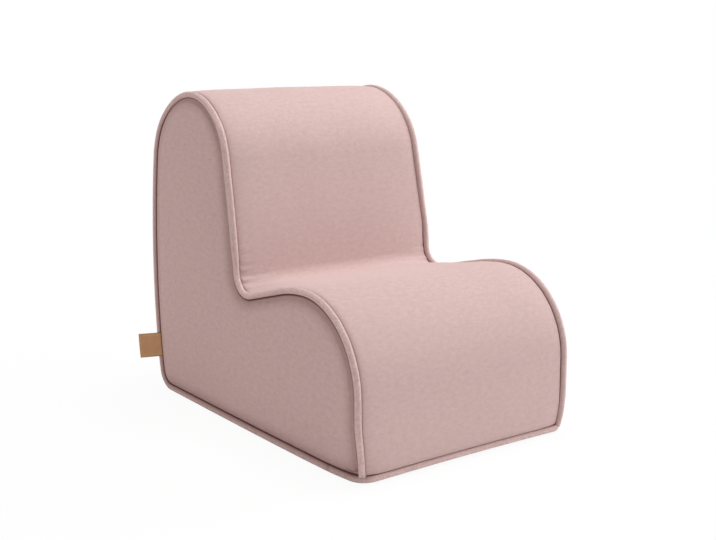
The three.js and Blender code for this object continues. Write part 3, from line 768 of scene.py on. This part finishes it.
# Cloth: the panels are blown up a little against their seams, held where they are sewn.
CLOTH = {
    "quality": 6, "mass": 0.25, "tension_stiffness": 12, "compression_stiffness": 12, "shear_stiffness": 6,
    "bending_stiffness": 1.5, "air_damping": 3, "vertex_group_mass": "sewn", "shrink_min": -0.012,
    "use_pressure": True, "uniform_pressure_force": 1.2,
}
CLOTH_FRAMES = 20
# For the main strip and the two sides: how far the cloth may move, and how often its moves are evened out.
SETTLED = ((2.2 * MM, 4), (1.2 * MM, 14), (1.2 * MM, 14))
# The cloth's own unevenness: the size of its waves in metres, their seed and their height.
UNEVEN = ((0.075, 2, 0.8 * MM), (0.022, 5, 0.12 * MM))


def evened(mesh, shift, rounds):
    """The moves of the vertices with their short, sharp differences evened out."""
    ends = np.array([e.vertices[:] for e in mesh.edges])
    count = np.bincount(ends.ravel(), minlength=len(shift))[:, None]
    for _ in range(rounds):
        total = np.zeros_like(shift)
        np.add.at(total, ends[:, 0], shift[ends[:, 1]])
        np.add.at(total, ends[:, 1], shift[ends[:, 0]])
        shift = (shift + total / np.maximum(count, 1)) / 2
    return shift


def let_cloth_settle(panels):
    for obj, _, firm in panels:
        group = obj.vertex_groups.new(name="sewn")
        for index, weight in enumerate(firm):
            if weight > 0.01:
                group.add([index], float(weight), "REPLACE")
        modifier = obj.modifiers.new("cloth", "CLOTH")
        for key, value in CLOTH.items():
            setattr(modifier.settings, key, value)
        modifier.settings.effector_weights.gravity = 0
        modifier.collision_settings.use_collision = False
    for step in range(1, CLOTH_FRAMES + 1):
        scene.frame_set(step)
    graph = bpy.context.evaluated_depsgraph_get()
    for (obj, normals, firm), (limit, rounds) in zip(panels, SETTLED):
        rest = np.array([v.co[:] for v in obj.data.vertices])
        moved = obj.evaluated_get(graph)
        after = np.array([v.co[:] for v in moved.data.vertices])
        shift = evened(obj.data, after - rest, rounds)
        size = np.linalg.norm(shift, axis=1)
        shift *= (np.minimum(size, limit) / np.maximum(size, 1e-9))[:, None]
        obj.modifiers.clear()
        obj.vertex_groups.clear()
        place = rest + shift
        for wave, seed, depth in UNEVEN:
            place += normals * (1 - firm)[:, None] * wobble(rest, wave, seed)[:, None] * depth
        obj.data.vertices.foreach_set("co", place.ravel())
        obj.data.update()
    scene.frame_set(1)


STEP = 6.5
main = strip("cover_main", main_stations(STEP), True)
base = strip("cover_base", base_stations(STEP), False)
left = side_panel("cover_side_left", -1, STEP)
right = side_panel("cover_side_right", 1, STEP)
let_cloth_settle([main, left, right])

for (obj, _, _), node, cloth in (
    (main, "main_panel", cover), (base, "base_panel", cover),
    (left, "side_panel_left", side_cover), (right, "side_panel_right", side_cover),
):
    rounding = obj.modifiers.new("subdivision", "SUBSURF")
    rounding.levels = rounding.render_levels = 1
    dressed(obj, cloth, node)


# Piping: sleeves of bias-cut cloth round a cord, slightly uneven.
def tube(name, frames, corners, radius):
    """A tube with closed ends through frames of (origin, across, out), in millimetres."""
    sides = 24
    turn = np.linspace(-pi, pi, sides, endpoint=False)
    angles = turn + pi / 4
    kept = frames[:1]
    for f in frames[1:]:
        if dist(f[0], kept[-1][0]) > 1.5:
            kept.append(f)
    origin, across, out = (np.array(part, dtype=float) for part in zip(*kept))
    x, z = origin[:, 0], origin[:, 2]

    # It is fuller up the back and on the right, drawn in at the right, and tucked in over the top.
    at_right = rise(x, HALF - 30, 30)
    right = at_right * np.clip(1 + out[:, 2] * 3, 0, 1)
    upper = right * rise(z, 250, 60)
    forward = np.clip(-out[:, 1], 0, 1)
    full = np.maximum(rise(z, 215, 40) * forward, right)
    tucked = 1.4 * rise(z, BODY_HEIGHT - 55, 45) * (1 - 0.3 * right)
    drawn = 1.5 * at_right * np.maximum(rise(z, 225, 40), forward * fall(z, 24, 18)) + 0.5 * upper
    swell = 0.7 * full + 0.3 * right + 0.5 * upper
    centre = origin - (PIPING_INSET - 0.4 * full)[:, None] * (across + out)
    centre = centre - tucked[:, None] * out - drawn[:, None] * across
    ridge = np.array([noise.noise(Vector(p) / 24 + Vector((3, 0, 0))) for p in centre])
    size = radius * (1 + 0.022 * ridge) + swell

    spokes = np.cos(angles)[:, None] * across[:, None] + np.sin(angles)[:, None] * out[:, None]
    rim = centre[:, None] + size[:, None, None] * spokes
    length = np.r_[0, np.cumsum(np.linalg.norm(np.diff(centre, axis=0), axis=1))]
    uvs = np.stack(np.broadcast_arrays(turn * radius, length[:, None]), axis=-1)
    return face_out(new_mesh(name, rim, tube_faces(len(kept), sides), uvs, corners=corners))


def side_frames(side):
    """From just above the floor up the front, round the outline and under the chair to the joint."""
    start = PIPING_INSET + (4.6 if side < 0 else 1.2)
    path = [on_toe(start / cos(TOE_LEAN)), on_toe(10), on_toe(14)]
    for station in loop_stations(5):
        y, z, angle = station
        too_low = same(angle, TOE_ANGLE) and z < LEVEL + 17
        past_joint = same(angle, BASE_ANGLE) and y - FOOT_Y < PIPING_JOINT + 2
        if not too_low and not past_joint:
            path.append(station)
    path.append(on_base(PIPING_JOINT))
    return [((side * HALF, y, z), (side, 0, 0), (0, cos(a), sin(a))) for y, z, a in path]


def front_frames():
    """Round the front of the floor edge: straight pieces and a round corner on each side."""
    down = (0, 0, -1)
    halves = []
    for side, radius in zip((-1, 1), FLOOR_CORNERS):
        behind = np.arange(PIPING_JOINT, radius + 3, -5)
        frames = [((side * HALF, FOOT_Y + q, LEVEL), (side, 0, 0), down) for q in behind]
        for angle in np.linspace(0, UP_ANGLE, 13):
            c, s = cos(angle), sin(angle)
            place = (side * (HALF - radius + radius * c), FOOT_Y + radius - radius * s, LEVEL)
            frames.append((place, (side * c, -s, 0), down))
        across = np.linspace(HALF - radius - 6, 0, 24)
        frames += [((side * x, FOOT_Y, LEVEL), (0, -1, 0), down) for x in across]
        halves.append(frames)
    return halves[0] + halves[1][-2::-1]


def cord_strands():
    n = material("filler_cord")
    split = n.split(n.uv())
    strand = n.wave(n.plus(split[0], n.times(split[1], 1.4)), 0.0032)
    n.tint(strand, -1, 1, (214, 209, 199), (236, 232, 224))
    n.link(n.bump(strand, 0.6, 0.0005), "Normal")
    n.set(Roughness=0.95)
    return n.owner


def pipings():
    strands = cord_strands()
    for place, frames, corners in (
        ("left", side_frames(-1), True), ("right", side_frames(1), True), ("front", front_frames(), False),
    ):
        sleeve = tube("welt_" + place, frames, corners, PIPING_RADIUS)
        dressed(sleeve, piping_cloth, "piping_" + place)
        cord = tube("cord_" + place, frames[1:-1], corners, CORD_RADIUS)
        dressed(cord, strands, "piping_cord_" + place)


# Foam block under the cover. Its soft edge, from the side inwards: how far in from the side and the outline.
FOAM_EDGE = ((7.6, 17), (8.6, 12), (11, 9))
FOAM_INSET = 8


def foam_block():
    stations = loop_stations(11)
    edge = [(HALF - across, ring(stations, inset)) for across, inset in FOAM_EDGE]
    body = [(-x, points) for x, points in edge]
    body += [(float(x), ring(stations, FOAM_INSET)) for x in np.linspace(-HALF + 40, HALF - 40, 12)]
    body += reversed(edge)
    flat = [(x, y, z) for x, loop in body for y, z in loop]
    faces = grid_faces(len(body), len(stations), closed=True)
    for x, loop in (body[0], body[-1]):
        net, tris = filled(loop, 16)
        faces += moved_faces(tris, len(flat))
        flat += [(x, y, z) for y, z in net]
    obj = face_out(new_mesh("foam_block", flat, faces), join=True)
    n = material("foam")
    place = n.place()
    n.tint(n.noise(place, 14), 0.3, 0.7, (240, 234, 212), (231, 222, 192))
    n.link(n.bump(n.cells(place, 900), 0.4, 0.0006), "Normal")
    n.set(Roughness=1, Subsurface_Weight=0.08, Subsurface_Scale=0.01)
    dressed(obj, n.owner, "foam_core")


# Leather tab: it leaves the seam in front of the piping, bends round it and stands out to the left rear.
TAG_EDGE = 0.9
TAG_GAP = 0.3
TAG_START = radians(-75)
TAG_TURN = radians(-53)
TAG_DROOP = 0.35
TAG_TILT = 0.02


def leather():
    n = material("leather")
    place = n.place()
    split = n.split(n.uv())
    pores = n.cells(place, 1500)
    wrinkle = n.noise(place, 420, 4, 0.6)
    cloud = n.noise(place, 90, 3)
    tone = n.mix(n.ramp(cloud, 0.3, 0.7), srgb(190, 138, 94), srgb(204, 152, 104))
    tone = n.mix(n.times(n.ramp(wrinkle, 0.45, 0.75), 0.35), tone, srgb(165, 115, 76))
    rim = n.math("MINIMUM", split[0], split[1])
    worn = n.ramp(n.plus(rim, n.times(wrinkle, 0.0006)), 0.0006, 0.0017)
    tone = n.mix(worn, srgb(100, 72, 44), tone)
    groove = n.ramp(n.math("ABSOLUTE", n.less(rim, 0.0034)), 0, 0.0005)
    tone = n.mix(n.times(groove, 0.65), srgb(222, 180, 132), tone)
    n.link(tone, "Base Color")
    rough = n.bump(n.plus(n.times(pores, 0.35), n.times(wrinkle, 0.5)), 0.35, 0.0004)
    n.link(n.bump(groove, 0.5, 0.0003, rough), "Normal")
    n.link(n.plus(0.5, n.times(wrinkle, 0.25)), "Roughness")
    return n.owner


def tag():
    bend = PIPING_RADIUS + TAG_GAP + TAG_THICKNESS / 2
    path = []
    for angle in np.linspace(TAG_START, TAG_TURN, 5):
        facing = np.array([cos(angle), sin(angle)])
        path.append((bend * facing - PIPING_INSET, facing, (angle - TAG_START) * bend))
    first, facing, bent = path[-1]
    along = np.array([-facing[1], facing[0]])
    flat = TAG_LENGTH - TAG_EDGE
    for d in [*np.linspace(3, flat - 3, 9), flat - 1.2, flat]:
        droop = TAG_DROOP * (d / TAG_LENGTH) ** 2
        path.append((first + d * along - droop * facing, facing, bent + d))
    tip, _, straight = path[-1]
    half = TAG_HEIGHT / 2
    corner = [-half, -half + 0.25, -half + TAG_EDGE, -half + 2.2]
    levels = [*corner, *np.linspace(-half + 6, half - 6, 8), *(-h for h in reversed(corner))]
    verts, uvs = [], []
    level_angle = asin((TAG_LEVEL - BELLY_HEIGHT) / REAR_RADIUS)
    for h in levels:
        y, z, angle = on_rear((level_angle - ZIP_ANGLE) * REAR_RADIUS + h)
        ny, nz = cos(angle), sin(angle)
        from_edge = half - abs(h)
        roll = sqrt(max(0, 1 - (1 - min(from_edge / TAG_EDGE, 1)) ** 2))
        thick = TAG_THICKNESS / 2 * (0.35 + 0.65 * roll)
        loop = [(*(c + thick * f), s) for c, f, s in path]
        for turn in np.radians((60, 30, 0, -30, -60)):
            reach = TAG_EDGE * cos(turn)
            loop.append((*(tip + reach * along + thick * sin(turn) * facing), straight + reach))
        loop += [(*(c - thick * f), s) for c, f, s in reversed(path)]
        for u, v, s in loop:
            verts.append((-HALF - u, y + v * ny, z + v * (nz - TAG_TILT) - u * TAG_TILT))
            uvs.append((straight + TAG_EDGE - s, from_edge))
    obj = new_mesh("leather_tab", verts, tube_faces(len(levels), len(loop)), uvs)
    dressed(face_out(obj), leather(), "tag")


# Zip: woven tapes, a coil of loops on each, and topstitching along both hems.
TAPE_FACE = -1.8
TAPE_THICKNESS = 0.75
# Across a tape, from the teeth outwards: the distance from the zip's middle, and the height of its ribs.
TAPE_BANDS = ((0.15, -0.25), (0.5, 0), (2.5, 0), (3.1, -0.12), (5, -0.12), (9, -0.12), (13.6, 0),
              (14.4, 0), (15.15, -0.25))
COIL_PITCH = 1.5
COIL_MIDDLE = 1.42
COIL_WIDTH = 1.05
COIL_HEAD = 1.18
COIL_LIFT = 1.16
COIL_RISE = 0.52
FILAMENT_RADIUS = 0.34
STITCH_PITCH = 4.2
STITCH_LENGTH = 3.1
STITCH_ROW = 5.6
STITCH_DEPTH = -0.36
THREAD_RADIUS = 0.36
# Along one stitch: the place in its length, its thickness and its height.
STITCH = ((-0.5, 0.12, -0.5), (-0.42, 0.75, 0), (-0.15, 1, 0.22), (0.15, 1, 0.22), (0.42, 0.75, 0),
          (0.5, 0.12, -0.5))


def rear_point(x, distance, height):
    """A point on the rear: a place across the width, a distance above the zip, a height off the outline."""
    y, z, angle = on_rear(distance)
    above = edge_height(STRIP_EDGE, HALF - abs(x)) + height
    return (x, y + above * cos(angle), z + above * sin(angle))


def tape_cloth():
    n = material("zip_tape")
    split = n.split(n.uv())
    twill = n.wave(n.plus(split[0], split[1]), 0.0011)
    height = n.plus(twill, n.times(n.wave(split[1], 0.0007), 0.6))
    n.tint(height, -1.2, 1.2, (170, 135, 131), (192, 158, 153))
    n.link(n.bump(height, 0.5, 0.0002), "Normal")
    n.set(Roughness=0.85, Sheen_Weight=0.15)
    return n.owner


def nylon():
    n = material("zip_coil")
    place = n.place()
    n.tint(n.noise(place, 300), 0.35, 0.65, (170, 136, 131), (182, 147, 142))
    n.link(n.bump(n.noise(place, 2600), 0.15, 0.0001), "Normal")
    n.set(Roughness=0.42)
    return n.owner


def metal():
    n = material("zip_metal")
    place = n.place()
    scratch = n.noise(n.stretched(place, (400, 2600, 2600)), 1, 3)
    n.tint(n.noise(place, 240), 0.35, 0.65, (190, 186, 180), (206, 203, 198))
    n.link(n.plus(0.2, n.times(scratch, 0.2)), "Roughness")
    n.link(n.bump(scratch, 0.08, 0.0001), "Normal")
    n.set(Metallic=1)
    return n.owner


def thread():
    n = material("thread")
    split = n.split(n.place())
    ply = n.wave(n.plus(split[0], split[2]), 0.0006)
    n.tint(ply, -1, 1, (181, 148, 144), (205, 172, 168))
    n.link(n.bump(ply, 0.4, 0.0001), "Normal")
    n.set(Roughness=0.6, Sheen_Weight=0.2)
    return n.owner


def tape(name, side):
    edge = HALF - EDGE_STEPS[0] - 0.4
    across = np.linspace(-edge, edge, 81)
    verts, uvs = [], []
    for underneath in (False, True):
        for distance, rib in TAPE_BANDS:
            height = TAPE_FACE - TAPE_THICKNESS - rib * 0.4 if underneath else TAPE_FACE + rib
            for x in across:
                verts.append(rear_point(x, side * distance, height))
                uvs.append((x, distance))
    rows, columns = len(TAPE_BANDS), len(across)
    faces = grid_faces(rows, columns)
    under = moved_faces((reversed(f) for f in faces), rows * columns)
    index = np.arange(rows * columns).reshape(rows, columns)
    rim = [*index[:, 0], *index[-1, 1:], *index[-2::-1, -1], *index[0, -2:0:-1]]
    sides = [(a, b, b + index.size, a + index.size) for a, b in zip(rim, rim[1:] + rim[:1])]
    return face_out(new_mesh(name, verts, faces + under + sides, uvs))


def coil(name, side):
    """One continuous filament: a flat loop for every tooth, its head at the middle of the zip."""
    edge = HALF - EDGE_STEPS[0] - 2.5
    section = 6
    turn = 12
    rows = int(2 * edge / COIL_PITCH) * turn + 1
    verts = []
    for i in range(rows):
        angle = tau * i / turn
        out, up = cos(angle), sin(angle)
        x = -edge + COIL_PITCH * (i / turn) + (COIL_PITCH / 2 if side < 0 else 0)
        distance = COIL_MIDDLE - COIL_WIDTH * out * (1 if out < 0 else COIL_HEAD)
        height = TAPE_FACE + COIL_LIFT + COIL_RISE * up
        tangent = Vector((COIL_PITCH / tau, COIL_WIDTH * up, COIL_RISE * out)).normalized()
        one = tangent.cross(Vector((1, 0, 0))).normalized()
        two = tangent.cross(one)
        for k in range(section):
            a = tau * k / section
            off = (one * cos(a) + two * sin(a)) * FILAMENT_RADIUS
            verts.append(rear_point(x + off.x, side * (distance + off.y), height + off.z))
    return face_out(new_mesh(name, verts, tube_faces(rows, section)))


def stitches(name, distance):
    edge = HALF - EDGE_STEPS[0] - 4
    sides = 6
    verts, faces = [], []
    for i in range(int(2 * edge / STITCH_PITCH)):
        middle = -edge + STITCH_PITCH * (i + 0.5)
        faces += moved_faces(tube_faces(len(STITCH), sides), len(verts))
        for along, swell, lift in STITCH:
            radius = THREAD_RADIUS * swell
            for k in range(sides):
                a = tau * k / sides
                height = STITCH_DEPTH + lift * 0.5 + radius * sin(a)
                x = middle + along * STITCH_LENGTH
                verts.append(rear_point(x, distance + radius * cos(a), height))
    return face_out(new_mesh(name, verts, faces))


def bevelled(name, node, body, width, steel):
    """A copy of a CAD solid with its sharp edges rounded off."""
    obj = added(name, bpy.data.objects[node].data.copy())
    obj.data.materials.clear()
    work = bmesh.new()
    work.from_mesh(obj.data)
    bmesh.ops.remove_doubles(work, verts=work.verts, dist=0.02 * MM)
    bmesh.ops.dissolve_limit(work, angle_limit=radians(1), verts=work.verts, edges=work.edges)
    sharp = [e for e in work.edges if len(e.link_faces) == 2 and e.calc_face_angle() > radians(35)]
    bmesh.ops.bevel(work, geom=sharp, offset=width * MM, segments=3, affect="EDGES", clamp_overlap=True)
    for face in work.faces:
        face.smooth = True
    work.to_mesh(obj.data)
    work.free()
    dressed(obj, steel, node, body)


def zip_pieces():
    cloth, plastic, steel, yarn = tape_cloth(), nylon(), metal(), thread()
    for name, side in (("upper", 1), ("lower", -1)):
        dressed(tape("tape_" + name, side), cloth, "zip_tape_" + name)
        dressed(coil("coil_" + name, side), plastic, "zip_coil_" + name)
        dressed(stitches("stitching_" + name, side * (ZIP_OPENING / 2 + STITCH_ROW)), yarn)
        bevelled("top_stop_" + name, "zip_top_stop_" + name, "chair", 0.22, steel)
    bevelled("bottom_stop", "zip_bottom_stop", "chair", 0.25, steel)
    bevelled("slider_body", "zip_slider", "slider", 0.28, steel)
    bevelled("pull_tab", "zip_pull", "pull", 0.26, steel)


pipings()
foam_block()
tag()
zip_pieces()


# Floor, light and background. Each lamp has its place and size in metres, its power and its colour.
LAMPS = (
    ("top", (0.3, 0, 3.2), 1.8, 64, (1, 1, 1)),
    ("right", (3.2, -0.9, 1.3), 1.8, 81, (1, 1, 1)),
    ("front", (0.9, -3.2, 1.1), 1.8, 18, (1, 1, 1)),
    ("rear", (-2.4, 0.9, 0.7), 2, 16, (1, 0.89, 0.87)),
)
AIM = Vector((0, 0, 0.2))
# The floor reaches this far each way, and lies just below the chair.
FLOOR_SIZE = 40.0
FLOOR_DROP = 0.0006
WHITE = (1, 1, 1, 1)


def floor():
    """Grey under the object's shadow, and near white for the camera."""
    mesh = bpy.data.meshes.new("floor")
    corners = [(x * FLOOR_SIZE, y * FLOOR_SIZE, 0) for x, y in ((-1, -1), (1, -1), (1, 1), (-1, 1))]
    mesh.from_pydata(corners, [], [(0, 1, 2, 3)])
    obj = added("floor", mesh)
    obj.location.z = -FLOOR_DROP
    n = material("floor")
    n.set(Roughness=0.9, Base_Color=(0.93, 0.93, 0.93, 1))
    reach = n.add("ShaderNodeVectorMath", {0: n.place()}, operation="LENGTH").outputs["Value"]
    paper = n.plus(0.94, n.times(n.ramp(reach, 0.35, 1.1), 0.06))
    seen = n.add("ShaderNodeLightPath").outputs["Is Camera Ray"]
    white = n.add("ShaderNodeEmission", {"Color": WHITE, "Strength": 1.0}).outputs[0]
    share = n.times(seen, paper)
    mixed = n.add("ShaderNodeMixShader", {0: share, 1: n.shader.outputs[0], 2: white}).outputs[0]
    n.tree.links.new(mixed, n.tree.nodes["Material Output"].inputs["Surface"])
    mesh.materials.append(n.owner)


def backdrop():
    """White for the camera and for reflections, and a soft light for everything else."""
    world = bpy.data.worlds.new("studio")
    scene.world = world
    n = Nodes(world)
    soft = n.tree.nodes["Background"]
    soft.inputs["Color"].default_value = (1, 0.99, 0.98, 1)
    soft.inputs["Strength"].default_value = 0.2
    paper = n.add("ShaderNodeBackground", {"Color": WHITE}).outputs[0]
    path = n.add("ShaderNodeLightPath").outputs
    mirrored = n.math("MAXIMUM", path["Is Glossy Ray"], path["Is Transmission Ray"])
    seen = n.math("MAXIMUM", path["Is Camera Ray"], mirrored)
    mixed = n.add("ShaderNodeMixShader", {0: seen, 1: soft.outputs[0], 2: paper}).outputs[0]
    n.tree.links.new(mixed, n.tree.nodes["World Output"].inputs["Surface"])


def lamps():
    for name, place, size, power, colour in LAMPS:
        data = bpy.data.lights.new(name, "AREA")
        data.shape = "DISK"
        data.size = size
        data.energy = power
        data.color = colour
        lamp = added(name, data)
        lamp.location = place
        lamp.rotation_euler = (AIM - Vector(place)).to_track_quat("-Z", "Y").to_euler()


floor()
backdrop()
lamps()
scene.view_settings.view_transform = "Standard"
